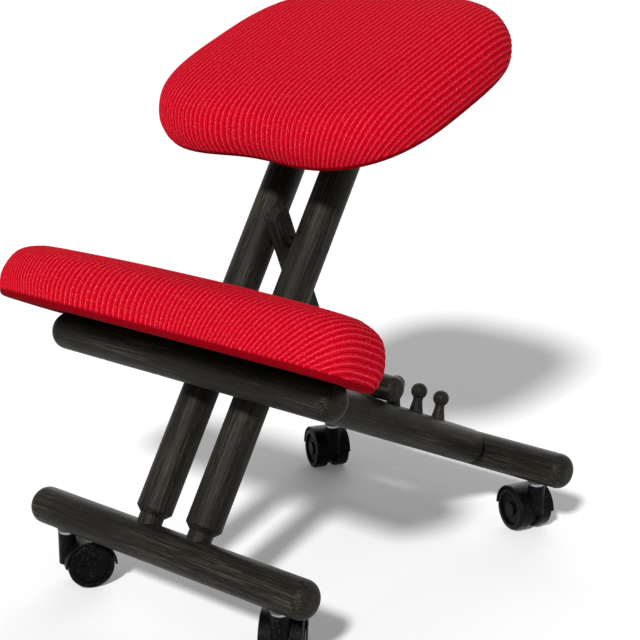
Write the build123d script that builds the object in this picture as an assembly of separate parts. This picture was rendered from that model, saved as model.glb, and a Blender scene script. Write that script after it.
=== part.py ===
from build123d import *
import math
import os

# Kneeling chair in turned wood on four twin-wheel castors, millimetres, +Z up, +Y to the back.

# Cross bars
bar_diameter = 40
bar_length = 390
bar_end_round = 14
rear_bar_back = 442.5
knee_bar_back = 40
knee_bar_rise = 187
knee_bar_flat = 1.5

# Posts of the seat frame, leaning back from the front bar
post_diameter = 38.4
post_spacing = 70.4
post_lean = 32.4
post_length = 517

# Rails of the knee frame, outside the posts
rail_diameter = 40
rail_spacing = 154

# Turned ends that enter the bars
neck_diameter = 26
neck_length = 7
knee_neck_length = 24
shoulder_step = 0.4
tenon_depth = 26
glue_gap = 0.1

# Pivot bolt where posts and rails cross
bolt_diameter = 8
bolt_head_diameter = 20
bolt_head_height = 5
bolt_head_sink = 6
nut_diameter = 16
spacer_diameter = 15
spot_face_sink = 1
running_gap = 0.05
free_gap = 0.3

# Prop that holds the seat up on the rails
prop_pivot_along_post = 340
prop_width = 21
prop_thickness = 16
prop_overhang = 38
prop_end_round = 5
prop_bolt_head_diameter = 13
prop_bolt_head_sink = 4
foot_bar_diameter = 28
foot_bar_length = 199
foot_bar_end_round = 8
foot_along_rail = 217
foot_tenon_diameter = 12
foot_tenon_past_axis = 7
foot_cope = 6

# Ball-headed pegs that stop the foot bar
peg_count = 3
peg_pitch = 45
peg_height = 31.5
peg_lean = 14
peg_ball_diameter = 18
peg_neck_diameter = 11
peg_foot_diameter = 17
peg_foot_height = 11
peg_tenon_diameter = 10
peg_tenon_depth = 17

# Seat
seat_tilt = 20.6
seat_forward_of_posts = 14
seat_width = 348
seat_depth = 323
seat_front_squareness = 2.95
seat_rear_squareness = 3.2
seat_notch_depth = 16
seat_notch_width = 150
seat_padding = 60.5
seat_block_thickness = 30
seat_block_margin = 10

# Knee pad
knee_width = 478
knee_depth = 140
knee_forward_of_bar = 28
knee_front_squareness = 4.1
knee_rear_squareness = 2.9
knee_padding = 63

# Boards inside the pads, and their screws
board_thickness = 12
board_inset = 10
board_recess = 1
screw_diameter = 5
screw_head_diameter = 9
screw_head_height = 3
screw_bite = 9
knee_screw_inner = 40
knee_screw_outer = 120
seat_screw_margin = 12

# Castors
castor_height = 63
castor_inset = 42
castor_trail = 22
wheel_diameter = 50
wheel_width = 17.5
wheel_edge_round = 3
wheel_dish_inner = 16
wheel_dish_outer = 38
wheel_dish_sink = 2.5
web_thickness = 7
hood_wall = 2.2
hood_gap = 0.8
hood_web_radius = 21
hood_boss_diameter = 19
axle_diameter = 6
axle_cover = 2.8
stem_diameter = 11
stem_collar_diameter = 17
stem_collar_height = 3
stem_reach = 26
stem_in_boss = 17
socket_wall = 1.6
socket_flange_diameter = 20
socket_flange_height = 3
socket_sink = 2.5
castor_turn = {
    "front_left": 58,
    "front_right": 124,
    "rear_left": 150,
    "rear_right": 158,
}

# Values that follow from the sizes above
bar_radius = bar_diameter / 2
post_radius = post_diameter / 2
rail_radius = rail_diameter / 2
shoulder = bar_radius + neck_length
knee_shoulder = bar_radius + knee_neck_length
bar_axis_height = castor_height + bar_radius
lean = math.radians(post_lean)
post_direction = Vector(0, math.sin(lean), math.cos(lean))
front_axis = Vector(0, 0, bar_axis_height)
rear_axis = Vector(0, rear_bar_back, bar_axis_height)
knee_axis = Vector(0, knee_bar_back, bar_axis_height + knee_bar_rise)
rail_direction = (rear_axis - knee_axis).normalized()
rail_up = Vector(1, 0, 0).cross(rail_direction)
rail_length = (rear_axis - knee_axis).length
post_sides = {"left": -post_spacing / 2, "right": post_spacing / 2}
rail_sides = {"left": -rail_spacing / 2, "right": rail_spacing / 2}

# The pivot is where the axes of the posts and the rails cross, seen from the side
knee_from_front = knee_axis - front_axis
pivot_along_post = knee_from_front.dot(rail_up) / post_direction.dot(rail_up)
pivot = front_axis + post_direction * pivot_along_post

# The foot bar lies on the rails, and the prop's pivot lies on the posts' axis
foot_radius = foot_bar_diameter / 2
foot_axis = knee_axis + rail_direction * foot_along_rail + rail_up * (rail_radius + foot_radius + free_gap)
prop_pivot = front_axis + post_direction * prop_pivot_along_post
prop_direction = (foot_axis - prop_pivot).normalized()
prop_length = (foot_axis - prop_pivot).length

# The seat's plane is the underside of its board, and the knee plane the flat on the knee bar
seat_slope = math.radians(seat_tilt)
seat_back = Vector(0, math.cos(seat_slope), math.sin(seat_slope))
seat_normal = Vector(1, 0, 0).cross(seat_back)
post_top = front_axis + post_direction * post_length
seat_plane = Plane(post_top - seat_back * seat_forward_of_posts, x_dir=(1, 0, 0), z_dir=seat_normal)
knee_seat_height = bar_radius - knee_bar_flat
knee_plane = Plane(
    knee_axis + rail_up * knee_seat_height - rail_direction * knee_forward_of_bar,
    x_dir=(1, 0, 0),
    z_dir=rail_up,
)


def along_x(center, radius, low, high):
    """Round bar along X through a centre, from one X to another."""
    middle = Vector((low + high) / 2, center.Y, center.Z)
    return Pos(middle) * Rot(0, 90, 0) * Cylinder(radius, high - low)


def along(start, direction, radius, low, high):
    """Round bar along any direction, between two distances from its start."""
    plane = Plane(start + direction * low, z_dir=direction)
    return plane * Cylinder(radius, high - low, align=(Align.CENTER, Align.CENTER, Align.MIN))


def at_x(point, x):
    """The same point moved to another X."""
    return Vector(x, point.Y, point.Z)


def cross_bar(center, radius, length, end_round):
    """Turned bar along X with rounded ends."""
    bar = along_x(center, radius, -length / 2, length / 2)
    return fillet(bar.edges().filter_by(GeomType.CIRCLE), end_round)


def turned_end(start, direction, body_start):
    """Neck and tenon that leave a bar's axis and end inside the body."""
    return along(start, direction, neck_diameter / 2, bar_radius - tenon_depth, body_start + bar_radius)


def tenon_hole(start, direction):
    """Blind hole in a bar for a turned end."""
    deep = bar_radius - tenon_depth - free_gap
    return along(start, direction, neck_diameter / 2 + glue_gap, deep, bar_diameter)


def turned_body(start, direction, radius, low, high, tapered):
    """Round body between two distances, with the listed ends tapered towards the necks."""
    body = along(start, direction, radius, low, high)
    ends = body.edges().filter_by(GeomType.CIRCLE).sort_by(lambda edge: edge.center().dot(direction))
    return chamfer([ends[index] for index in tapered], radius - neck_diameter / 2 - shoulder_step)


nodes = {}
castor_x = bar_length / 2 - castor_inset

# Front bar and rear bar, with holes for the turned ends and the castor sockets
socket_radius = stem_diameter / 2 + running_gap + socket_wall
socket_length = stem_reach + free_gap


def castor_holes(axis):
    """Bores and spot faces under a bar for its two castor sockets."""
    underside = axis.Z - bar_radius
    holes = []
    for x in (-castor_x, castor_x):
        foot = Vector(x, axis.Y, underside)
        up = Vector(0, 0, 1)
        holes.append(along(foot, up, socket_radius + glue_gap, -bar_radius, socket_sink + socket_length + free_gap))
        holes.append(along(foot, up, socket_flange_diameter / 2 + glue_gap, -bar_radius, socket_sink))
    return holes


nodes["front_bar"] = cross_bar(front_axis, bar_radius, bar_length, bar_end_round) - castor_holes(front_axis)
nodes["rear_bar"] = cross_bar(rear_axis, bar_radius, bar_length, bar_end_round) - castor_holes(rear_axis)
nodes["knee_bar"] = cross_bar(knee_axis, bar_radius, bar_length, bar_end_round)
for x in post_sides.values():
    nodes["front_bar"] -= tenon_hole(at_x(front_axis, x), post_direction)
for x in rail_sides.values():
    nodes["rear_bar"] -= tenon_hole(at_x(rear_axis, x), -rail_direction)
    nodes["knee_bar"] -= tenon_hole(at_x(knee_axis, x), rail_direction)

# Flat planed on the knee bar for its board, and the screw holes through the bar
plane_above_flat = Plane(knee_axis + rail_up * knee_seat_height, x_dir=(1, 0, 0), z_dir=rail_up)
nodes["knee_bar"] -= plane_above_flat * Box(
    bar_length * 2, bar_diameter, bar_diameter, align=(Align.CENTER, Align.CENTER, Align.MIN)
)
knee_screw_places = [-knee_screw_outer, -knee_screw_inner, knee_screw_inner, knee_screw_outer]


def screw(start, direction, length, grow):
    """Screw with a flat head at its start; grow makes the hole that takes it."""
    head = along(start, direction, screw_head_diameter / 2 + grow, -grow, screw_head_height)
    return head + along(start, direction, screw_diameter / 2 + grow, 0, length + grow)


knee_screw_start = -math.sqrt(bar_radius**2 - (screw_head_diameter / 2) ** 2)
knee_screw_length = knee_seat_height - knee_screw_start + screw_bite
knee_screws = []
knee_screw_holes = []
for x in knee_screw_places:
    start = at_x(knee_axis, x) + rail_up * knee_screw_start
    knee_screws.append(screw(start, rail_up, knee_screw_length, 0))
    knee_screw_holes.append(screw(start, rail_up, knee_screw_length, glue_gap))
    knee_screw_holes.append(along(start, rail_up, screw_head_diameter / 2 + glue_gap, -bar_radius, 0))
nodes["knee_bar"] -= knee_screw_holes

# Posts: turned neck at the foot, pivot and prop holes across, top cut to the seat's slope
spacer_radius = spacer_diameter / 2
post_outer = post_spacing / 2 + math.sqrt(post_radius**2 - spacer_radius**2) - spot_face_sink
post_inner = post_spacing / 2 - math.sqrt(post_radius**2 - spacer_radius**2) + spot_face_sink
rail_outer = rail_spacing / 2 + rail_radius - bolt_head_sink
rail_inner = rail_spacing / 2 - math.sqrt(rail_radius**2 - spacer_radius**2) + spot_face_sink
post_gap = post_spacing / 2 - post_radius
prop_head_seat = post_spacing / 2 + post_radius - prop_bolt_head_sink
bolt_hole_radius = bolt_diameter / 2 + running_gap
wide = bar_length
above_seat = seat_plane * Box(wide, wide, wide, align=(Align.CENTER, Align.CENTER, Align.MIN))
for side, x in post_sides.items():
    foot = at_x(front_axis, x)
    post = turned_body(foot, post_direction, post_radius, shoulder, post_length + post_diameter, [0])
    post += turned_end(foot, post_direction, shoulder)
    outward = 1 if x > 0 else -1
    post -= along_x(pivot, bolt_hole_radius, -wide, wide)
    post -= along_x(prop_pivot, bolt_hole_radius, -wide, wide)
    post -= along_x(pivot, spacer_radius + glue_gap, *sorted((outward * post_outer, outward * wide)))
    post -= along_x(pivot, spacer_radius + glue_gap, *sorted((-outward * wide, outward * post_inner)))
    head_radius = prop_bolt_head_diameter / 2 + glue_gap
    post -= along_x(prop_pivot, head_radius, *sorted((outward * prop_head_seat, outward * wide)))
    nodes["post_" + side] = post - above_seat

# Rails: turned necks at both ends, pivot hole with a counterbore, holes for the pegs
peg_slant = math.radians(peg_lean)
peg_direction = Vector(0, math.sin(peg_slant), math.cos(peg_slant))
ball_radius = peg_ball_diameter / 2
ball_center = peg_height - ball_radius
first_ball = foot_along_rail + foot_radius + ball_radius + free_gap
first_peg = first_ball - ball_center * peg_direction.dot(rail_direction)
peg_places = [first_peg + index * peg_pitch for index in range(peg_count)]


def peg_base(x, place):
    """Point on top of a rail under a peg."""
    return at_x(knee_axis, x) + rail_direction * place + rail_up * rail_radius


for side, x in rail_sides.items():
    start = at_x(knee_axis, x)
    rail = turned_body(start, rail_direction, rail_radius, knee_shoulder, rail_length - shoulder, [0, 1])
    rail += turned_end(start, rail_direction, knee_shoulder)
    rail += turned_end(at_x(rear_axis, x), -rail_direction, shoulder)
    outward = 1 if x > 0 else -1
    rail -= along_x(pivot, bolt_hole_radius, -wide, wide)
    head_hole = bolt_head_diameter / 2 + free_gap
    rail -= along_x(pivot, head_hole, *sorted((outward * rail_outer, outward * wide)))
    spacer_hole = spacer_radius + free_gap
    rail -= along_x(pivot, spacer_hole, *sorted((0, outward * rail_inner)))
    for place in peg_places:
        hole_radius = peg_tenon_diameter / 2 + glue_gap
        rail -= along(peg_base(x, place), peg_direction, hole_radius, -peg_tenon_depth - free_gap, peg_height)
    nodes["rail_" + side] = rail

# Pegs: flared foot, waist and ball on a tenon, shaped at the foot to the sloping rail
foot_edge = peg_foot_diameter / 2
rail_sag = rail_radius - math.sqrt(rail_radius**2 - foot_edge**2)
peg_sink = foot_edge * abs(peg_direction.dot(rail_direction)) + rail_sag + free_gap


def peg(base):
    """One turned peg standing on a rail."""
    foot = Plane(base - peg_direction * peg_sink, z_dir=peg_direction) * Cone(
        foot_edge,
        peg_neck_diameter / 2,
        peg_foot_height + peg_sink,
        align=(Align.CENTER, Align.CENTER, Align.MIN),
    )
    waist = along(base, peg_direction, peg_neck_diameter / 2, -peg_sink, ball_center)
    knob = Pos(base + peg_direction * ball_center) * Sphere(ball_radius)
    shaped = foot + waist + knob
    start = at_x(knee_axis, base.X)
    shaped -= along(start, rail_direction, rail_radius + running_gap, 0, rail_length)
    return shaped + along(base, peg_direction, peg_tenon_diameter / 2, -peg_tenon_depth, peg_foot_height)


for side, x in rail_sides.items():
    nodes["pegs_" + side] = Compound(children=[peg(peg_base(x, place)) for place in peg_places])

# Pivot bolt through rails and posts, its nut, the sleeve between the posts and the spacers beside the rails
bolt_seat = rail_outer + free_gap
pivot_bolt = along_x(pivot, bolt_diameter / 2, -bolt_seat - bolt_head_height, bolt_seat)
bolt_head = along_x(pivot, bolt_head_diameter / 2, bolt_seat, bolt_seat + bolt_head_height)
outer_edge = bolt_head.edges().filter_by(GeomType.CIRCLE).sort_by(Axis.X)[-1]
nodes["pivot_bolt"] = pivot_bolt + fillet(outer_edge, bolt_head_height / 2)
nut = along_x(pivot, nut_diameter / 2, -bolt_seat - bolt_head_height, -bolt_seat)
nodes["pivot_nut"] = nut - along_x(pivot, bolt_diameter / 2 + running_gap, -wide, wide)
sleeve = along_x(pivot, spacer_radius, -post_inner, post_inner)
nodes["pivot_sleeve"] = sleeve - along_x(pivot, bolt_hole_radius, -wide, wide)
spacers = []
for outward in (-1, 1):
    ends = sorted((outward * post_outer, outward * (rail_inner - free_gap)))
    spacers.append(along_x(pivot, spacer_radius, *ends) - along_x(pivot, bolt_hole_radius, -wide, wide))
nodes["pivot_spacers"] = Compound(children=spacers)

# Prop: square strut on its own bolt between the posts, with the foot bar tenoned across its lower end
strut_plane = Plane(prop_pivot, x_dir=(1, 0, 0), z_dir=prop_direction)
strut = Pos(0, 0, -prop_overhang) * Box(
    prop_thickness,
    prop_width,
    prop_length - foot_cope + prop_overhang,
    align=(Align.CENTER, Align.CENTER, Align.MIN),
)
strut = fillet(strut.edges().filter_by(Axis.X).group_by(Axis.Z)[0], prop_end_round)
strut = strut_plane * strut
strut -= along_x(prop_pivot, bolt_hole_radius, -wide, wide)
strut -= along_x(foot_axis, foot_radius + running_gap, -wide, wide)
tenon_top = prop_length - foot_radius - foot_cope
tenon = along(prop_pivot, prop_direction, foot_tenon_diameter / 2, tenon_top, prop_length + foot_tenon_past_axis)
nodes["prop_strut"] = strut + tenon
foot_bar = cross_bar(foot_axis, foot_radius, foot_bar_length, foot_bar_end_round)
tenon_hole_end = prop_length + foot_tenon_past_axis + free_gap
foot_bar -= along(prop_pivot, prop_direction, foot_tenon_diameter / 2 + glue_gap, tenon_top, tenon_hole_end)
nodes["foot_bar"] = foot_bar

head_radius = prop_bolt_head_diameter / 2
prop_bolt = along_x(prop_pivot, bolt_diameter / 2, -prop_head_seat - prop_bolt_head_sink, prop_head_seat)
nodes["prop_bolt"] = prop_bolt + along_x(
    prop_pivot, head_radius, prop_head_seat, prop_head_seat + prop_bolt_head_sink
)
nut = along_x(prop_pivot, head_radius, -prop_head_seat - prop_bolt_head_sink, -prop_head_seat)
nodes["prop_nut"] = nut - along_x(prop_pivot, bolt_diameter / 2 + running_gap, -wide, wide)
washers = []
for outward in (-1, 1):
    ends = sorted((outward * (prop_thickness / 2 + free_gap), outward * (post_gap - running_gap)))
    washers.append(along_x(prop_pivot, head_radius, *ends) - along_x(prop_pivot, bolt_hole_radius, -wide, wide))
nodes["prop_washers"] = Compound(children=washers)

# Seat block: takes the posts' tops at their slant, and is screwed up into the board
post_to_normal = post_direction.dot(seat_normal)
post_to_back = post_direction.dot(seat_back)
slant = seat_block_thickness * post_to_back / post_to_normal
hole_half = post_radius / post_to_normal
block_rear = seat_forward_of_posts + hole_half + seat_block_margin
block_front = seat_forward_of_posts - slant - hole_half - seat_block_margin
block_width = post_spacing + post_diameter + 2 * seat_block_margin
block = seat_plane * Pos(0, (block_front + block_rear) / 2, -seat_block_thickness / 2) * Box(
    block_width, block_rear - block_front, seat_block_thickness
)
block = fillet(block.edges().filter_by(Axis(seat_plane.origin, seat_normal)), seat_block_margin)
for x in post_sides.values():
    block -= along(at_x(front_axis, x), post_direction, post_radius + glue_gap, shoulder, post_length * 2)
screw_up_seat = seat_block_thickness + screw_bite
seat_screws = []
seat_screw_holes = []
screw_side = block_width / 2 - seat_screw_margin
screw_front = block_front + seat_screw_margin
screw_rear = block_rear - seat_screw_margin
for x, back in ((-screw_side, screw_front), (screw_side, screw_front), (0, screw_front), (0, screw_rear)):
    start = seat_plane.from_local_coords(Vector(x, back, -seat_block_thickness))
    seat_screws.append(screw(start, seat_normal, screw_up_seat, 0))
    seat_screw_holes.append(screw(start, seat_normal, screw_up_seat, glue_gap))
nodes["seat_block"] = block - seat_screw_holes


def half_depth(share, squareness):
    """Half depth of a pad's outline, as a share, at a share of its half width."""
    return (1 - abs(share) ** squareness) ** (1 / squareness)


def pad_edges(x, pad, inset):
    """Front and rear of a pad's outline at X, drawn in by an inset."""
    half_width, depth, front_squareness, rear_squareness, notch_depth, notch_width = pad
    share = min(abs(x) / (half_width - inset), 1)
    notch = notch_depth * math.exp(-((2 * x / notch_width) ** 2))
    front = -(depth / 2 - inset) * half_depth(share, front_squareness) + notch
    return front, (depth / 2 - inset) * half_depth(share, rear_squareness)


pad_turns = [0, 9, 18, 27, 36, 45, 54, 62, 69, 75, 80, 84]
pad_shares = [math.sin(math.radians(turn)) for turn in pad_turns]
pad_shares = [-share for share in reversed(pad_shares[1:])] + pad_shares

# How far a pad's side is drawn in on its way up, at which shares of its height
bottom_inset = 5
shoulder_inset = 7
turn_inset = 19
top_inset = 40
side_bottom = (bottom_inset, 0)
side_belly = (0, 0.36)
side_shoulder = (shoulder_inset, 0.68)
side_turn = (turn_inset, 0.84)
side_top = (top_inset, 0.945)
narrow_width = 160
end_rounding = 15
end_lift = 4
end_drop = 0.5


def pad_section(x, pad, bottom, top):
    """Upright section of a padded cushion at X, with drawn-in sides and a crown."""
    near_end = math.exp((abs(x) - pad[0]) / end_rounding)
    front, rear = pad_edges(x, pad, 0)
    height = (top - bottom) * (1 - end_drop * near_end)
    lift = bottom + end_lift * near_end
    squeeze = min(1, (rear - front) / narrow_width)

    def at(edge, inward, place):
        inset, share = place
        return edge + inward * inset * squeeze, lift + share * (height - lift + bottom)

    crown = ((front + rear) / 2, bottom + height)
    section_plane = Plane(Vector(x, 0, 0), x_dir=(0, 1, 0), z_dir=(1, 0, 0))
    outline = [
        Line(at(front, 1, side_bottom), at(rear, -1, side_bottom)),
        ThreePointArc(at(rear, -1, side_bottom), at(rear, -1, side_belly), at(rear, -1, side_shoulder)),
        ThreePointArc(at(rear, -1, side_shoulder), at(rear, -1, side_turn), at(rear, -1, side_top)),
        ThreePointArc(at(rear, -1, side_top), crown, at(front, 1, side_top)),
        ThreePointArc(at(front, 1, side_top), at(front, 1, side_turn), at(front, 1, side_shoulder)),
        ThreePointArc(at(front, 1, side_shoulder), at(front, 1, side_belly), at(front, 1, side_bottom)),
    ]
    return section_plane * make_face(outline)


def pad_board(pad, inset, low, high):
    """Board cut to a pad's outline, drawn in by an inset."""
    half_width = pad[0] - inset
    xs = [share * half_width for share in pad_shares]
    front = [Vector(x, pad_edges(x, pad, inset)[0], 0) for x in xs]
    rear = [Vector(x, pad_edges(x, pad, inset)[1], 0) for x in xs]
    outline = [Spline(*front), Line(front[-1], rear[-1]), Spline(*reversed(rear)), Line(rear[0], front[0])]
    return Pos(0, 0, low) * extrude(make_face(outline), high - low)


def padded(pad, top):
    """Cushion round the edge of its board, and the board that sits in it."""
    sections = [pad_section(share * pad[0], pad, -board_recess, top) for share in pad_shares]
    cushion = loft(sections)
    cushion -= pad_board(pad, board_inset - glue_gap, -board_thickness, board_thickness)
    return cushion, pad_board(pad, board_inset, 0, board_thickness)


seat_pad = (
    seat_width / 2, seat_depth, seat_front_squareness, seat_rear_squareness, seat_notch_depth, seat_notch_width
)
knee_pad = (knee_width / 2, knee_depth, knee_front_squareness, knee_rear_squareness, 0, knee_width)
cushion, board = padded(seat_pad, seat_padding)
nodes["seat_cushion"] = seat_plane * cushion
nodes["seat_board"] = seat_plane * board - seat_screw_holes
nodes["seat_screws"] = Compound(children=seat_screws)
cushion, board = padded(knee_pad, knee_padding)
nodes["knee_cushion"] = knee_plane * cushion
nodes["knee_board"] = knee_plane * board - knee_screw_holes
nodes["knee_screws"] = Compound(children=knee_screws)

# Castors: each is made with its stem on the Z axis and its axle to +X, then turned and moved under its bar
wheel_radius = wheel_diameter / 2
axle_place = Vector(castor_trail, 0, wheel_radius)
wheel_inner = web_thickness / 2 + hood_gap
wheel_outer = wheel_inner + wheel_width
hood_inner = wheel_radius + hood_gap
hood_outer = hood_inner + hood_wall
collar_top = castor_height + socket_sink - socket_flange_height - free_gap
boss_top = collar_top - stem_collar_height
stem_bottom = boss_top - stem_in_boss
stem_top = castor_height + socket_sink + stem_reach


def along_y(center, radius, low, high):
    """Round bar along Y through a centre, from one Y to another."""
    middle = Vector(center.X, (low + high) / 2, center.Z)
    return Pos(middle) * Rot(90, 0, 0) * Cylinder(radius, high - low)


def upright(radius, low, high):
    """Round bar on the stem's axis between two heights."""
    return along(Vector(0, 0, 0), Vector(0, 0, 1), radius, low, high)


def castor_socket():
    """Sleeve pressed into the bar, with a flange below."""
    flange_top = castor_height + socket_sink
    sleeve = upright(socket_radius, flange_top, flange_top + socket_length)
    sleeve += upright(socket_flange_diameter / 2, flange_top - socket_flange_height, flange_top)
    return sleeve - upright(stem_diameter / 2 + running_gap, 0, stem_top * 2)


def castor_stem():
    """Steel stem with its collar."""
    return upright(stem_diameter / 2, stem_bottom, stem_top) + upright(stem_collar_diameter / 2, boss_top, collar_top)


def castor_hood():
    """Hood over both wheels, with the web between them and the boss for the stem."""
    cover = along_y(axle_place, hood_outer, -wheel_outer, wheel_outer)
    rims = cover.edges().filter_by(GeomType.CIRCLE)
    cover = fillet(rims, hood_wall / 2)
    size = 2 * hood_outer
    cover -= Pos(axle_place) * Box(size * 2, size * 2, size, align=(Align.CENTER, Align.CENTER, Align.MAX))
    boss = upright(hood_boss_diameter / 2, wheel_radius, boss_top)
    body = cover + boss
    for low in (web_thickness / 2, -wheel_outer - wheel_width):
        body -= along_y(axle_place, hood_inner, low, low + wheel_outer - web_thickness / 2 + wheel_width)
    body += along_y(axle_place, hood_web_radius, -web_thickness / 2, web_thickness / 2)
    body -= upright(stem_diameter / 2 + glue_gap, stem_bottom - free_gap, boss_top * 2)
    return body - along_y(axle_place, axle_diameter / 2 + glue_gap, -wide, wide)


def castor_axle():
    """Steel pin through the web into both wheels."""
    half = wheel_outer - axle_cover
    return along_y(axle_place, axle_diameter / 2, -half, half)


def castor_wheel(side):
    """One wheel with a rounded tread and a dished face, on one side of the web."""
    wheel = along_y(axle_place, wheel_radius, wheel_inner, wheel_outer)
    wheel = fillet(wheel.edges().filter_by(GeomType.CIRCLE), wheel_edge_round)
    dish = along_y(axle_place, wheel_dish_outer / 2, wheel_outer - wheel_dish_sink, wheel_outer + wheel_width)
    dish -= along_y(axle_place, wheel_dish_inner / 2, 0, wheel_outer + wheel_width * 2)
    wheel -= dish
    bore_end = wheel_outer - axle_cover + free_gap
    wheel -= along_y(axle_place, axle_diameter / 2 + running_gap, 0, bore_end)
    return wheel if side == "left" else mirror(wheel, about=Plane.XZ)


castor_places = {
    "front_left": Vector(-castor_x, 0, 0),
    "front_right": Vector(castor_x, 0, 0),
    "rear_left": Vector(-castor_x, rear_bar_back, 0),
    "rear_right": Vector(castor_x, rear_bar_back, 0),
}
for corner, place in castor_places.items():
    turned = Pos(place) * Rot(0, 0, castor_turn[corner])
    nodes["socket_" + corner] = turned * castor_socket()
    nodes["stem_" + corner] = turned * castor_stem()
    nodes["hood_" + corner] = turned * castor_hood()
    nodes["axle_" + corner] = turned * castor_axle()
    nodes["wheel_left_" + corner] = turned * castor_wheel("left")
    nodes["wheel_right_" + corner] = turned * castor_wheel("right")

# The origin goes to the middle of the chair's base
boxes = [solid.bounding_box() for solid in nodes.values()]
low_x = min(box.min.X for box in boxes)
high_x = max(box.max.X for box in boxes)
low_y = min(box.min.Y for box in boxes)
high_y = max(box.max.Y for box in boxes)
low_z = min(box.min.Z for box in boxes)
to_origin = Vector(-(low_x + high_x) / 2, -(low_y + high_y) / 2, -low_z)

os.makedirs("parts", exist_ok=True)
for name, solid in nodes.items():
    export_step(Pos(to_origin) * solid, "parts/" + name + ".step")
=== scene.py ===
import math
from collections import namedtuple

import bmesh
import bpy
import numpy as np
from mathutils import Matrix, Vector


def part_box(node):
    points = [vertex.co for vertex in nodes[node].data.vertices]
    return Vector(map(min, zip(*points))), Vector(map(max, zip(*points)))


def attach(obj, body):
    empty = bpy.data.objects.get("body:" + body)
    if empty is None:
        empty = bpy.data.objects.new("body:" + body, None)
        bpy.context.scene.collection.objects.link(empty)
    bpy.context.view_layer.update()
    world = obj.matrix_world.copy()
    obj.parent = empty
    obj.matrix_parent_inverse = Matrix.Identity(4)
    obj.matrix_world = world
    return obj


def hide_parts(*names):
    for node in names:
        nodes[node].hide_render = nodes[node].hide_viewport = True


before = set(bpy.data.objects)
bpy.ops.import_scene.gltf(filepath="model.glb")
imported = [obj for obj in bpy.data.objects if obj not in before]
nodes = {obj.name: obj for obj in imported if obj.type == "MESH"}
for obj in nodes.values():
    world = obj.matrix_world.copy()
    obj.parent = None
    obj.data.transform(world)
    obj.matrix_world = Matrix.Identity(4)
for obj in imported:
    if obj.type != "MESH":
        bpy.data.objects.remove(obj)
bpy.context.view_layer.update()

# Front, rear and knee bars, and the foot bar of the prop: beech dowels turned on a lathe,
# stained nearly black and given one coat of satin lacquer. The grain runs the length of each bar.
stain_dark = (0.0062, 0.0054, 0.0040, 1)
stain_light = (0.062, 0.052, 0.036, 1)
streak_scale = (620, 620, 15)
pore_scale = (1600, 1600, 110)
patch_scale = (26, 26, 9)
streak_share = 0.75
pore_share = 0.3
pore_relief = 0.6
lacquer_roughness = 0.48
fleck_gloss = 0.14
lacquer_shine = 0.08
grain_depth = 0.0004
grain_strength = 0.28
across_turn = (0, math.radians(-90), 0)


def group_tree(name, inputs, outputs):
    """Shader node group with named sockets, and its two end nodes."""
    tree = bpy.data.node_groups.new(name, "ShaderNodeTree")
    for direction, sockets in (("INPUT", inputs), ("OUTPUT", outputs)):
        for socket, kind in sockets:
            tree.interface.new_socket(socket, in_out=direction, socket_type="NodeSocket" + kind)
    return tree, tree.nodes.new("NodeGroupInput"), tree.nodes.new("NodeGroupOutput")


def add(tree, kind, **settings):
    """One shader node; a setting that isn't a property of the node is the value of an input socket."""
    node = tree.nodes.new("ShaderNode" + kind)
    for name, value in settings.items():
        if name in node.bl_rna.properties:
            setattr(node, name, value)
        else:
            node.inputs[name].default_value = value
    return node


def noise(tree, place, scale, detail, roughness):
    """Noise on coordinates that are scaled by a different amount along each axis."""
    mapping = add(tree, "Mapping", Scale=scale)
    tree.links.new(place, mapping.inputs["Vector"])
    texture = add(tree, "TexNoise", Scale=1.0, Detail=detail, Roughness=roughness)
    tree.links.new(mapping.outputs["Vector"], texture.inputs["Vector"])
    return texture.outputs["Fac"]


def ramp(tree, factor, *stops):
    """Grey ramp fed by a factor, with a place and a grey for each stop."""
    node = tree.nodes.new("ShaderNodeValToRGB")
    for element, (place, grey) in zip(node.color_ramp.elements, stops):
        element.position = place
        element.color = (grey, grey, grey, 1)
    tree.links.new(factor, node.inputs["Fac"])
    return node.outputs["Color"]


def combined(tree, operation, *values):
    """Arithmetic on one or two values or sockets."""
    node = add(tree, "Math", operation=operation)
    for socket, value in zip(node.inputs, values):
        if isinstance(value, (int, float)):
            socket.default_value = value
        else:
            tree.links.new(value, socket)
    return node.outputs["Value"]


def tinted(tree, factor, low, high):
    """Colour between two colours or sockets, by a factor."""
    node = add(tree, "Mix", data_type="RGBA")
    tree.links.new(factor, node.inputs["Factor"])
    for name, value in (("A", low), ("B", high)):
        socket = next(s for s in node.inputs if s.name == name and s.type == "RGBA")
        if isinstance(value, tuple):
            socket.default_value = value
        else:
            tree.links.new(value, socket)
    return next(s for s in node.outputs if s.type == "RGBA")


def surface(name):
    """New material, with its tree, its Principled surface and the piece's own coordinates."""
    material = bpy.data.materials.new(name)
    material.use_nodes = True
    tree = material.node_tree
    place = add(tree, "TexCoord").outputs["Object"]
    return material, tree, tree.nodes["Principled BSDF"], place


def bumped(tree, finish, height, distance, strength):
    """Relief on a finish from a height."""
    bump = add(tree, "Bump", Strength=strength, Distance=distance)
    tree.links.new(height, bump.inputs["Height"])
    tree.links.new(bump.outputs["Normal"], finish.inputs["Normal"])


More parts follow.
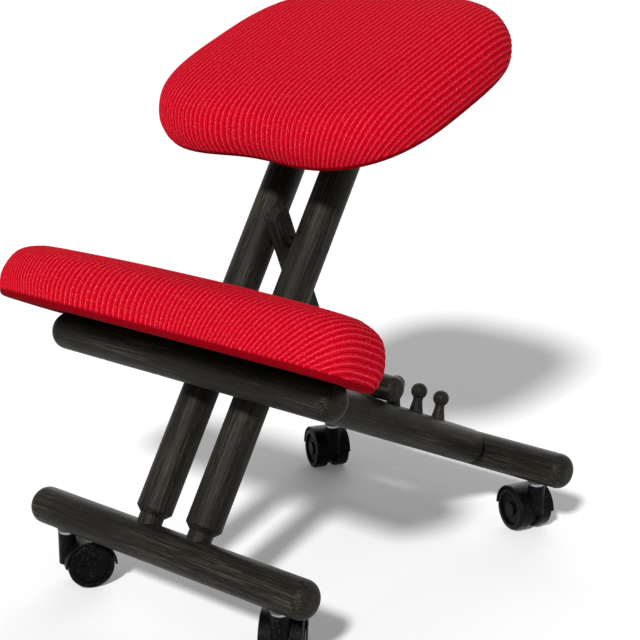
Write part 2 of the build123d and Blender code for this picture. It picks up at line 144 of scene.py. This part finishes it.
grain, grain_in, grain_out = group_tree(
    "wood_grain",
    [("Along Z", "Vector")],
    [("Color", "Color"), ("Roughness", "Float"), ("Height", "Float")],
)
along_z = grain_in.outputs["Along Z"]
streaks = ramp(grain, noise(grain, along_z, streak_scale, 5.0, 0.62), (0.49, 0.0), (0.66, 1.0))
pores = ramp(grain, noise(grain, along_z, pore_scale, 2.0, 0.5), (0.46, 0.0), (0.68, 1.0))
patches = ramp(grain, noise(grain, along_z, patch_scale, 2.0, 0.55), (0.34, 0.25), (0.68, 1.0))
light_streaks = combined(grain, "MULTIPLY", streaks, streak_share)
light_pores = combined(grain, "MULTIPLY", pores, pore_share)
fleck = combined(grain, "MULTIPLY", combined(grain, "ADD", light_streaks, light_pores), patches)
smoother = combined(grain, "MULTIPLY", fleck, fleck_gloss)
raised_pores = combined(grain, "MULTIPLY", pores, pore_relief)
for value, socket in (
    (tinted(grain, fleck, stain_dark, stain_light), "Color"),
    (combined(grain, "SUBTRACT", lacquer_roughness, smoother), "Roughness"),
    (combined(grain, "ADD", streaks, raised_pores), "Height"),
):
    grain.links.new(value, grain_out.inputs[socket])


def stained_wood(name, turn):
    """Stained wood whose grain is turned from upright by the given angles."""
    material, tree, finish, place = surface(name)
    mapping = add(tree, "Mapping", Rotation=turn)
    tree.links.new(place, mapping.inputs["Vector"])
    group = add(tree, "Group", node_tree=grain)
    tree.links.new(mapping.outputs["Vector"], group.inputs["Along Z"])
    tree.links.new(group.outputs["Color"], finish.inputs["Base Color"])
    tree.links.new(group.outputs["Roughness"], finish.inputs["Roughness"])
    finish.inputs["Specular IOR Level"].default_value = lacquer_shine
    bumped(tree, finish, group.outputs["Height"], grain_depth, grain_strength)
    return material


def finished(material, *names):
    """Puts one material on the named pieces."""
    for name in names:
        piece = nodes[name]
        piece.data.materials.clear()
        piece.data.materials.append(material)


finished(stained_wood("wood_across", across_turn), "front_bar", "rear_bar", "knee_bar", "foot_bar")

# Posts, rails and prop: the same turned wood. A post's foot and both ends of a rail are thinner necks,
# glued into the bars. The prop is a square strut with eased corners. The grain follows the lean of each.
post_lean = math.radians(32.4)
rail_turn = math.radians(114.9)
prop_turn = math.radians(156.7)
finished(stained_wood("wood_posts", (post_lean, 0, 0)), "post_left", "post_right")
finished(stained_wood("wood_rails", (rail_turn, 0, 0)), "rail_left", "rail_right")
finished(stained_wood("wood_prop", (prop_turn, 0, 0)), "prop_strut")

# Pegs: small turned pegs with a flared foot and a ball head, glued into the rails with a slight lean,
# in the same stain.
peg_lean = math.radians(14)
finished(stained_wood("wood_pegs", (peg_lean, 0, 0)), "pegs_left", "pegs_right")

# Bolts, nuts, spacers, sleeve, washers and wood screws: blackened steel, run through the wood
# or driven into it, and a little rubbed where the tool and the wood have touched it.
patch_share = 0.2
grit_share = 4.0
grit_strength = 0.35
mottle, mottle_in, mottle_out = group_tree(
    "mottle",
    [("Place", "Vector"), ("Size", "Float")],
    [("Patches", "Float"), ("Grit", "Float")],
)
coarse = add(mottle, "TexNoise", Detail=3.0, Roughness=0.6)
fine = add(mottle, "TexNoise", Detail=2.0, Roughness=0.5)
for texture, share in ((coarse, patch_share), (fine, grit_share)):
    scale = combined(mottle, "MULTIPLY", mottle_in.outputs["Size"], share)
    mottle.links.new(mottle_in.outputs["Place"], texture.inputs["Vector"])
    mottle.links.new(scale, texture.inputs["Scale"])
coarse_mask = ramp(mottle, coarse.outputs["Fac"], (0.35, 0.0), (0.68, 1.0))
fine_mask = ramp(mottle, fine.outputs["Fac"], (0.40, 0.0), (0.66, 1.0))
mottle.links.new(coarse_mask, mottle_out.inputs["Patches"])
mottle.links.new(fine_mask, mottle_out.inputs["Grit"])


def mottling(tree, place, size):
    """The mottle group in a material, at its own size."""
    group = add(tree, "Group", node_tree=mottle)
    group.inputs["Size"].default_value = size
    tree.links.new(place, group.inputs["Place"])
    return group.outputs["Patches"], group.outputs["Grit"]


def mottled(name, low, high, smooth, rough, size, relief):
    """Hard finish whose colour and gloss vary in patches, with a fine grit."""
    material, tree, finish, place = surface(name)
    worn, grit = mottling(tree, place, size)
    tree.links.new(tinted(tree, worn, low, high), finish.inputs["Base Color"])
    rougher = combined(tree, "MULTIPLY", worn, rough - smooth)
    tree.links.new(combined(tree, "ADD", rougher, smooth), finish.inputs["Roughness"])
    bumped(tree, finish, grit, relief, grit_strength)
    return material, finish


black_steel, steel_finish = mottled(
    "black_steel",
    low=(0.006, 0.006, 0.006, 1),
    high=(0.018, 0.017, 0.016, 1),
    smooth=0.32,
    rough=0.55,
    size=900,
    relief=0.0001,
)
steel_finish.inputs["Metallic"].default_value = 0.85
finished(black_steel, "pivot_bolt", "pivot_nut", "pivot_sleeve", "pivot_spacers")
finished(black_steel, "prop_bolt", "prop_nut", "prop_washers", "seat_screws", "knee_screws")

# Seat block and boards: the block is the same stained wood, glued round the tops of the posts and screwed up.
# The boards are plywood painted black, with the covers drawn over their edges.
finished(stained_wood("wood_block", across_turn), "seat_block")
black_board, board_finish = mottled(
    "black_board",
    low=(0.011, 0.010, 0.010, 1),
    high=(0.026, 0.024, 0.023, 1),
    smooth=0.75,
    rough=0.9,
    size=300,
    relief=0.0003,
)
board_finish.inputs["Specular IOR Level"].default_value = 0.08
finished(black_board, "seat_board", "knee_board")

# Castors: a nylon sleeve pressed into the bar, a turned steel stem and axle, and a hood and two wheels
# moulded in black plastic with a fine speckle.
castor_black = (0.0018, 0.0018, 0.0021, 1)
speck_grey = (0.045, 0.045, 0.048, 1)
speck_scale = 430.0
castor_mottle = 500
castor_roughness = 0.3
speck_roughness = 0.2
castor_shine = 0.05
castor_relief = 0.0003
castor_relief_strength = 0.4
sleeve_plastic, _ = mottled(
    "sleeve_plastic",
    low=(0.02, 0.02, 0.02, 1),
    high=(0.04, 0.04, 0.04, 1),
    smooth=0.4,
    rough=0.55,
    size=500,
    relief=0.0001,
)
bright_steel, bright_finish = mottled(
    "bright_steel",
    low=(0.30, 0.30, 0.31, 1),
    high=(0.42, 0.42, 0.43, 1),
    smooth=0.24,
    rough=0.38,
    size=700,
    relief=0.00006,
)
bright_finish.inputs["Metallic"].default_value = 1.0
castor_plastic, castor_tree, castor_finish, castor_place = surface("castor_plastic")
speckle = add(castor_tree, "TexVoronoi", Scale=speck_scale, Randomness=1.0)
castor_tree.links.new(castor_place, speckle.inputs["Vector"])
specks = ramp(castor_tree, speckle.outputs["Distance"], (0.12, 1.0), (0.32, 0.0))
castor_patches, castor_grit = mottling(castor_tree, castor_place, castor_mottle)
spotted = combined(castor_tree, "MULTIPLY", specks, castor_patches)
castor_colour = tinted(castor_tree, spotted, castor_black, speck_grey)
castor_tree.links.new(castor_colour, castor_finish.inputs["Base Color"])
rough_specks = combined(castor_tree, "MULTIPLY", spotted, speck_roughness)
castor_gloss = combined(castor_tree, "ADD", rough_specks, castor_roughness)
castor_tree.links.new(castor_gloss, castor_finish.inputs["Roughness"])
castor_finish.inputs["Specular IOR Level"].default_value = castor_shine
bumped(castor_tree, castor_finish, castor_grit, castor_relief, castor_relief_strength)
for corner in ("front_left", "front_right", "rear_left", "rear_right"):
    finished(sleeve_plastic, "socket_" + corner)
    finished(bright_steel, "stem_" + corner, "axle_" + corner)
    finished(castor_plastic, "hood_" + corner, "wheel_left_" + corner, "wheel_right_" + corner)

# Cushions: foam on the boards, in a ribbed stretch cover cut flat, drawn down all round and tucked under.
# The seat lies on the posts' tops and the knee pad on the knee bar, in line with the rails. The ribs run
# fore and aft over the top and down the front, and fan out where the cover goes round an end.
bar_low, bar_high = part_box("front_bar")
bar_middle = (bar_low + bar_high) / 2
seat_from_bar = Vector((0, 0.263917, 0.431592))
knee_from_bar = Vector((0, 0.022401, 0.215575))

# Each pad's squareness is for its front and rear, its dent in front has a depth and a width, its fan of
# ribs is for the left and the right end, and its middle is placed from the middle of the front bar.
Pad = namedtuple("Pad", "half_width half_depth height squareness dent fan tilt middle")
seat_pad = Pad(
    half_width=0.1724,
    half_depth=0.1608,
    height=0.0615,
    squareness=(2.95, 3.2),
    dent=(0.016, 0.150),
    fan=(2.2, 2.2),
    tilt=math.radians(20.6),
    middle=bar_middle + seat_from_bar,
)
knee_pad = Pad(
    half_width=0.2376,
    half_depth=0.0695,
    height=0.0640,
    squareness=(4.1, 2.9),
    dent=(0.0, 0.478),
    fan=(5.0, 1.5),
    tilt=math.radians(-24.92),
    middle=bar_middle + knee_from_bar,
)

# A pad's edge, as insets from its outline: down its side with shares of its height, and round the tuck
# with levels above the board's underside.
roll_inset = 0.040
end_share = 0.77
narrow_half = 0.080
crown_share = 0.975
side_places = ((roll_inset, 0.945), (0.019, 0.84), (0.007, 0.68), (0.0, 0.36), (0.0025, 0.085))
side_lead_in = (0.02, 0.004)
side_lead_out = (0.003, -0.01)
side_steps = 24
rim_level = -0.001
rim_span = 3
tuck = ((0.0004, 0.0034), (0.0022, -0.0022), (0.010, -0.0036), (0.030, -0.0020), (0.031, 0.006))
rib_pitch = 0.0070
rib_height = 0.0007
column_pitch = rib_pitch / 2
row_pitch = 0.0075
trial_count = 60001
roll_count = 6000
search_parts = 40


def drawn_in(pad, inset):
    """Half sizes of a pad drawn in by an inset, less so at its ends and on a narrow pad."""
    return pad.half_width - end_share * inset, pad.half_depth - min(1, pad.half_depth / narrow_half) * inset


def outline(pad, inset, turns):
    """Outline of a pad drawn in by an inset, at angles round it, with a dent in the middle of its front."""
    power = 2 / np.where(np.sin(turns) < 0, *pad.squareness)
    across = np.sign(np.cos(turns)) * np.abs(np.cos(turns)) ** power
    back = np.sign(np.sin(turns)) * np.abs(np.sin(turns)) ** power
    wide, deep = drawn_in(pad, inset)
    dent_depth, dent_width = pad.dent
    dent = dent_depth * np.exp(-((2 * wide * across / dent_width) ** 2)) * np.clip(-2 * back, 0, 1)
    return np.stack([wide * across, deep * back + dent], -1)


def length_along(points):
    """Length of a line of points, up to each of them."""
    return np.concatenate([[0], np.cumsum(np.linalg.norm(np.diff(points, axis=0), axis=1))])


def smooth_span(before, start, end, after, t):
    """Smooth curve between two points, which takes its slopes from the points on either side."""
    straight = 2 * start + (end - before) * t
    bend = (2 * before - 5 * start + 4 * end - after) * t**2
    twist = (3 * start - before - 3 * end + after) * t**3
    return 0.5 * (straight + bend + twist)


def side_curve(height):
    """Curve down a pad's side from the roll of its edge: inset, height, and length along it."""
    places = np.array([(inset, share * height) for inset, share in side_places])
    knots = np.vstack([places[0] + side_lead_in, places, places[-1] + side_lead_out])
    t = np.linspace(0, 1, side_steps, endpoint=False)[:, None]
    spans = [smooth_span(*four, t) for four in zip(knots, knots[1:], knots[2:], knots[3:])]
    curve = np.vstack(spans + [places[-1:]])
    return curve[:, 0], curve[:, 1], length_along(curve)


def edge_roll(pad):
    """Angles, points and outward normals, evenly spaced along the roll of a pad's edge."""
    trial = np.linspace(0, 2 * math.pi, trial_count)
    run = length_along(outline(pad, roll_inset, trial))
    turns = np.interp(np.linspace(0, run[-1], roll_count, endpoint=False), run, trial)
    roll = outline(pad, roll_inset, turns)
    tangent = np.roll(roll, -1, 0) - np.roll(roll, 1, 0)
    normal = np.stack([tangent[:, 1], -tangent[:, 0]], 1)
    return turns, roll, normal / np.linalg.norm(normal, axis=1)[:, None]


def flat_cloth(cut, turns):
    """Points of the flat cloth inside its cut edge, in columns two to a rib."""
    reach = int(cut[:, 0].max() / column_pitch - 0.5) * column_pitch
    across = np.arange(-reach, reach + column_pitch / 2, column_pitch)
    front = cut[np.sin(turns) < 0]
    rear = cut[np.sin(turns) >= 0][::-1]
    low = np.interp(across, front[:, 0], front[:, 1])
    high = np.interp(across, rear[:, 0], rear[:, 1])
    share = np.linspace(0, 1, int((high - low).max() / row_pitch) + 1)
    along = low[:, None] + (high - low)[:, None] * share
    return np.stack(np.broadcast_arrays(across[:, None], along), 2)


def nearest(spots, roll):
    """Index of the roll's nearest point to each spot."""
    parts = np.array_split(spots, search_parts)
    return np.concatenate([np.argmin(((part[:, None] - roll[None]) ** 2).sum(2), 1) for part in parts])


def crown(pad, spots):
    """Height of a pad's top at places on it."""
    power = np.where(spots[:, 1] < 0, *pad.squareness)
    wide, deep = drawn_in(pad, roll_inset)
    spread = ((np.abs(spots[:, 0]) / wide) ** power + (np.abs(spots[:, 1]) / deep) ** power) ** (1 / power)
    fall = crown_share - side_places[0][1]
    return pad.height * (crown_share - fall * np.clip(spread, 0, 1) ** 2)


def cover_points(pad):
    """Points of a cover on its pad, where each lies across and along the ribs, and their columns and rows."""
    turns, roll, normal = edge_roll(pad)
    inset, rise, length = side_curve(pad.height)
    flat = flat_cloth(roll + normal * length[-1], turns)
    spots = flat.reshape(-1, 2)
    near = nearest(spots, roll)
    beyond = ((spots - roll[near]) * normal[near]).sum(1)
    edge = np.ones(flat.shape[:2], bool)
    edge[1:-1, 1:-1] = False
    beyond[edge.ravel()] = length[-1]
    outside = beyond > 0
    drawn = outline(pad, np.interp(beyond, length, inset), turns[near])
    points = np.zeros((len(spots), 3))
    points[:, :2] = np.where(outside[:, None], drawn, spots)
    points[:, 2] = np.where(outside, np.interp(beyond, length, rise), crown(pad, spots)) + rim_level
    foot = roll[near, 0]
    wide, _ = drawn_in(pad, roll_inset)
    to_end = np.clip(np.abs(foot) / wide, 0, 1) ** np.where(foot < 0, *pad.fan)
    lean = np.sign(foot) * np.sin(math.pi / 2 * to_end)
    rib_place = np.where(outside, foot + beyond * lean, spots[:, 0])
    return points, np.stack([rib_place, spots[:, 1]], 1), flat.shape[:2]


def quads(*corner_lists):
    """Faces from the lists of their first, second, third and fourth corners."""
    return np.stack(corner_lists, -1).reshape(-1, 4).tolist()


def cover(name, pad):
    """Cover laid over its pad and tucked under, and the columns and rows of its cloth."""
    points, spots, shape = cover_points(pad)
    grid = np.arange(len(points)).reshape(shape)
    faces = quads(grid[:-1, :-1], grid[1:, :-1], grid[1:, 1:], grid[:-1, 1:])
    rim = np.concatenate([grid[:, 0], grid[-1, 1:], grid[-2::-1, -1], grid[0, -2:0:-1]])
    rim_points, rim_spots = points[rim, :2], spots[rim]
    run = np.roll(rim_points, -rim_span, 0) - np.roll(rim_points, rim_span, 0)
    inward = np.stack([-run[:, 1], run[:, 0]], 1) / np.linalg.norm(run, axis=1)[:, None]
    ribbed = np.ones(len(points))
    loop = rim
    for drawn, level in tuck:
        below = np.arange(len(points), len(points) + len(rim))
        points = np.vstack([points, np.insert(rim_points + inward * drawn, 2, level, axis=1)])
        spots = np.vstack([spots, rim_spots - inward * drawn])
        ribbed = np.concatenate([ribbed, np.zeros(len(rim))])
        faces += quads(np.roll(loop, -1), loop, below, np.roll(below, -1))
        loop = below
    mesh = bpy.data.meshes.new(name)
    mesh.from_pydata(points.tolist(), [], faces)
    mesh.transform(Matrix.Translation(pad.middle) @ Matrix.Rotation(pad.tilt, 4, "X"))
    laid_flat = mesh.attributes.new("laid_flat", "FLOAT_VECTOR", "POINT")
    laid_flat.data.foreach_set("vector", np.column_stack([spots, ribbed]).ravel())
    piece = bpy.data.objects.new(name, mesh)
    bpy.context.scene.collection.objects.link(piece)
    return piece, shape


def with_modifiers(piece):
    """The piece's mesh as its modifiers leave it."""
    return bpy.data.meshes.new_from_object(piece.evaluated_get(bpy.context.evaluated_depsgraph_get()))


def vectors_of(mesh, kind):
    """The points of a mesh, co, or their normals, normal."""
    values = np.zeros(len(mesh.vertices) * 3, np.float32)
    mesh.vertices.foreach_get(kind, values)
    return values.reshape(-1, 3).astype(float)


# The cloth simulation in which the foam presses the covers out, and how far it may press them.
swell_frames = 16
swell_limit = 0.003
swell_smoothing = 4


def stretch(piece, count):
    """Cloth of the cover, held along the tuck after its first points, and pressed from inside by the foam."""
    group = piece.vertex_groups.new(name="tuck")
    group.add(list(range(count, len(piece.data.vertices))), 1.0, "REPLACE")
    cloth = piece.modifiers.new("foam", "CLOTH").settings
    cloth.vertex_group_mass = "tuck"
    cloth.tension_stiffness = 60
    cloth.compression_stiffness = 60
    cloth.shear_stiffness = 30
    cloth.bending_stiffness = 4
    cloth.use_pressure = True
    cloth.uniform_pressure_force = 3
    cloth.effector_weights.gravity = 0


def settle(piece, shape):
    """Leaves the cover where the foam has pressed it, by a few millimetres at most and nowhere inward."""
    count = math.prod(shape)
    points = vectors_of(piece.data, "co")
    outward = vectors_of(piece.data, "normal")[:count]
    pressed = with_modifiers(piece)
    press = ((vectors_of(pressed, "co") - points)[:count] * outward).sum(1)
    press = np.clip(press, 0, swell_limit).reshape(shape)
    for _ in range(swell_smoothing):
        around = np.pad(press, 1, mode="edge")
        beside = around[:-2, 1:-1] + around[2:, 1:-1] + around[1:-1, :-2] + around[1:-1, 2:]
        press = (beside + 2 * press) / 6
    piece.modifiers.clear()
    piece.vertex_groups.clear()
    points[:count] += outward * press.reshape(-1, 1)
    piece.data.vertices.foreach_set("co", points.ravel())
    bpy.data.meshes.remove(pressed)


def refine(piece):
    """Finer mesh with the ribs raised on it, and the flat cloth's coordinates kept for the weave."""
    smooth = piece.modifiers.new("smooth", "SUBSURF")
    smooth.levels = 2
    mesh = with_modifiers(piece)
    piece.modifiers.remove(smooth)
    piece.data = mesh
    flat = np.zeros(len(mesh.vertices) * 3, np.float32)
    mesh.attributes["laid_flat"].data.foreach_get("vector", flat)
    mesh.attributes.remove(mesh.attributes["laid_flat"])
    flat = flat.reshape(-1, 3)
    ribbed = np.ascontiguousarray(flat[:, 2])
    off_crest = np.abs(np.mod(flat[:, 0] / rib_pitch, 1) * 2 - 1)
    ridge = rib_height * (0.5 + 0.5 * np.cos(math.pi * off_crest)) * ribbed
    raised = vectors_of(mesh, "co") + vectors_of(mesh, "normal") * ridge[:, None]
    mesh.vertices.foreach_set("co", raised.ravel())
    mesh.attributes.new("ribbed", "FLOAT", "POINT").data.foreach_set("value", ribbed)
    where = np.zeros(len(mesh.loops), np.int32)
    mesh.loops.foreach_get("vertex_index", where)
    mesh.uv_layers.new(name="laid_flat_uv").data.foreach_set("uv", flat[where, :2].ravel())
    closed = bmesh.new()
    closed.from_mesh(mesh)
    bmesh.ops.holes_fill(closed, edges=[edge for edge in closed.edges if edge.is_boundary], sides=0)
    closed.to_mesh(mesh)
    closed.free()
    mesh.shade_smooth()


seat, seat_shape = cover("seat_cover", seat_pad)
knee, knee_shape = cover("knee_cover", knee_pad)
for piece, shape in ((seat, seat_shape), (knee, knee_shape)):
    stretch(piece, math.prod(shape))
for number in range(1, swell_frames + 1):
    bpy.context.scene.frame_set(number)
for piece, shape in ((seat, seat_shape), (knee, knee_shape)):
    settle(piece, shape)
bpy.context.scene.frame_set(1)
for piece in (seat, knee):
    refine(piece)
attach(seat, "seat_frame")
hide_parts("seat_cushion")
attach(knee, "knee_frame")
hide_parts("knee_cushion")

# The covers' fabric: bright red yarn, with a painted highlight in dots along the crest of each rib, and
# painted shade in the grooves and on the unribbed edge that is tucked under.
cover_red = (0.55, 0.0012, 0.0135, 1)
shade_red = (0.45, 0.0004, 0.0095, 1)
# Painted shade: a darker red in the grooves between the ribs.
groove_shade_red = (0.32, 0.0, 0.006, 1)
# Painted shade: a darker red on the tucked-under edge, which faces down.
tuck_shade_red = (0.20, 0.0, 0.004, 1)
# Painted highlight: a lighter red along each rib's crest, where light catches the raised cord.
crest_highlight_red = (0.84, 0.055, 0.085, 1)
fleck_pink = (0.86, 0.16, 0.19, 1)
yarn_scale = (900, 420, 1)
knot_scale = (700, 480, 1)
groove_relief = 0.7
yarn_relief = 0.9
weave_depth = 0.0006
weave_strength = 0.5
ribbed_cloth, cloth, cloth_finish, _ = surface("ribbed_cloth")
laid = add(cloth, "UVMap", uv_map="laid_flat_uv").outputs["UV"]
has_ribs = add(cloth, "Attribute", attribute_name="ribbed").outputs["Fac"]
laid_parts = add(cloth, "SeparateXYZ")
cloth.links.new(laid, laid_parts.inputs["Vector"])
rib = combined(cloth, "FRACT", combined(cloth, "DIVIDE", laid_parts.outputs["X"], rib_pitch))
from_middle = combined(cloth, "ABSOLUTE", combined(cloth, "SUBTRACT", rib, 0.5))
off_crest = combined(cloth, "MULTIPLY", 2, from_middle)
crest = combined(cloth, "MULTIPLY", ramp(cloth, off_crest, (0.05, 1.0), (0.26, 0.0)), has_ribs)
groove = combined(cloth, "MULTIPLY", ramp(cloth, off_crest, (0.70, 0.0), (0.96, 1.0)), has_ribs)
yarn = noise(cloth, laid, yarn_scale, 3.0, 0.6)
knots = noise(cloth, laid, knot_scale, 1.0, 0.5)
# The painted highlight along the crests, broken into dots by the knots.
dotted_highlight = combined(cloth, "MULTIPLY", crest, ramp(cloth, knots, (0.36, 0.25), (0.66, 1.0)))
off_groove = combined(cloth, "SUBTRACT", has_ribs, groove)
flecks = combined(cloth, "MULTIPLY", ramp(cloth, knots, (0.60, 0.0), (0.76, 0.45)), off_groove)
worn = tinted(cloth, ramp(cloth, yarn, (0.3, 0.0), (0.7, 1.0)), shade_red, cover_red)
# Painted shade on the tucked-under edge.
tuck_shaded = tinted(cloth, has_ribs, tuck_shade_red, worn)
# Painted highlight on the crests.
crest_highlighted = tinted(cloth, dotted_highlight, tuck_shaded, crest_highlight_red)
# Painted shade in the grooves.
groove_shaded = tinted(cloth, groove, crest_highlighted, groove_shade_red)
cloth.links.new(tinted(cloth, flecks, groove_shaded, fleck_pink), cloth_finish.inputs["Base Color"])
cloth_finish.inputs["Roughness"].default_value = 0.95
cloth_finish.inputs["Specular IOR Level"].default_value = 0.03
rib_relief = combined(cloth, "SUBTRACT", crest, combined(cloth, "MULTIPLY", groove, groove_relief))
weave = combined(cloth, "ADD", rib_relief, combined(cloth, "MULTIPLY", yarn, yarn_relief))
bumped(cloth, cloth_finish, weave, weave_depth, weave_strength)
for piece in (seat, knee):
    piece.data.materials.clear()
    piece.data.materials.append(ribbed_cloth)

# Floor: a wide sheet of matt white studio paper under the wheels.
# It glows a little where it is looked at, so that it stays white, and it keeps the shadow.
floor_half = 9
paper_white = (0.96, 0.96, 0.96, 1)
paper_glow = 0.10


def white_when_seen(tree, unseen, seen):
    """Strength that changes where the camera, a glossy surface or glass looks straight at a surface."""
    path = add(tree, "LightPath")
    looked_at = combined(tree, "MAXIMUM", path.outputs["Is Camera Ray"], path.outputs["Is Glossy Ray"])
    looked_at = combined(tree, "MAXIMUM", looked_at, path.outputs["Is Transmission Ray"])
    return combined(tree, "ADD", unseen, combined(tree, "MULTIPLY", looked_at, seen - unseen))


floor_corners = [(floor_half * x, floor_half * y, 0) for x, y in ((-1, -1), (1, -1), (1, 1), (-1, 1))]
floor_mesh = bpy.data.meshes.new("floor")
floor_mesh.from_pydata(floor_corners, [], [(0, 1, 2, 3)])
floor = bpy.data.objects.new("floor", floor_mesh)
bpy.context.scene.collection.objects.link(floor)
floor_paper, floor_tree, floor_finish, _ = surface("floor_paper")
floor_finish.inputs["Base Color"].default_value = paper_white
floor_finish.inputs["Roughness"].default_value = 0.9
floor_finish.inputs["Specular IOR Level"].default_value = 0.0
floor_finish.inputs["Emission Color"].default_value = (1, 1, 1, 1)
floor_tree.links.new(white_when_seen(floor_tree, 0, paper_glow), floor_finish.inputs["Emission Strength"])
floor_mesh.materials.append(floor_paper)

# Studio light: one far softbox in front of the chair and to its right, a weak wide one low behind it,
# and a weak grey surround that is white where it is looked at.
surround_strength = 0.22
lamps = (
    ("softbox", 3.4, math.radians(6), (0.338, -0.723, 0.602)),
    ("rear_fill", 1.2, math.radians(50), (-0.50, 0.82, 0.28)),
)
world = bpy.context.scene.world or bpy.data.worlds.new("studio")
bpy.context.scene.world = world
world.use_nodes = True
surround = world.node_tree.nodes["Background"]
surround.inputs["Color"].default_value = (1, 1, 1, 1)
strength = white_when_seen(world.node_tree, surround_strength, 1.0)
world.node_tree.links.new(strength, surround.inputs["Strength"])
for name, energy, width, toward in lamps:
    lamp = bpy.data.lights.new(name, "SUN")
    lamp.energy = energy
    lamp.angle = width
    light = bpy.data.objects.new(name, lamp)
    light.rotation_mode = "QUATERNION"
    light.rotation_quaternion = Vector(toward).to_track_quat("Z", "Y")
    bpy.context.scene.collection.objects.link(light)

# Camera: in front of the chair and to its right, a little above the seat, where the photograph was taken.
# It is placed from the middle of the front bar, and looks level across the picture.
camera_place = bar_middle + Vector((1.1470, -1.1052, 0.6959))
camera_turn = math.radians(40.49)
camera_lift = math.radians(16.01)
camera = bpy.data.objects.new("camera", bpy.data.cameras.new("camera"))
camera.location = camera_place
camera.rotation_mode = "QUATERNION"
level = math.cos(camera_lift)
back = Vector((math.sin(camera_turn) * level, -math.cos(camera_turn) * level, math.sin(camera_lift)))
camera.rotation_quaternion = (-back).to_track_quat("-Z", "Y")
camera.data.sensor_width = 36
camera.data.lens = 95.44
bpy.context.scene.collection.objects.link(camera)
bpy.context.scene.camera = camera
bpy.context.scene.view_settings.view_transform = "Standard"
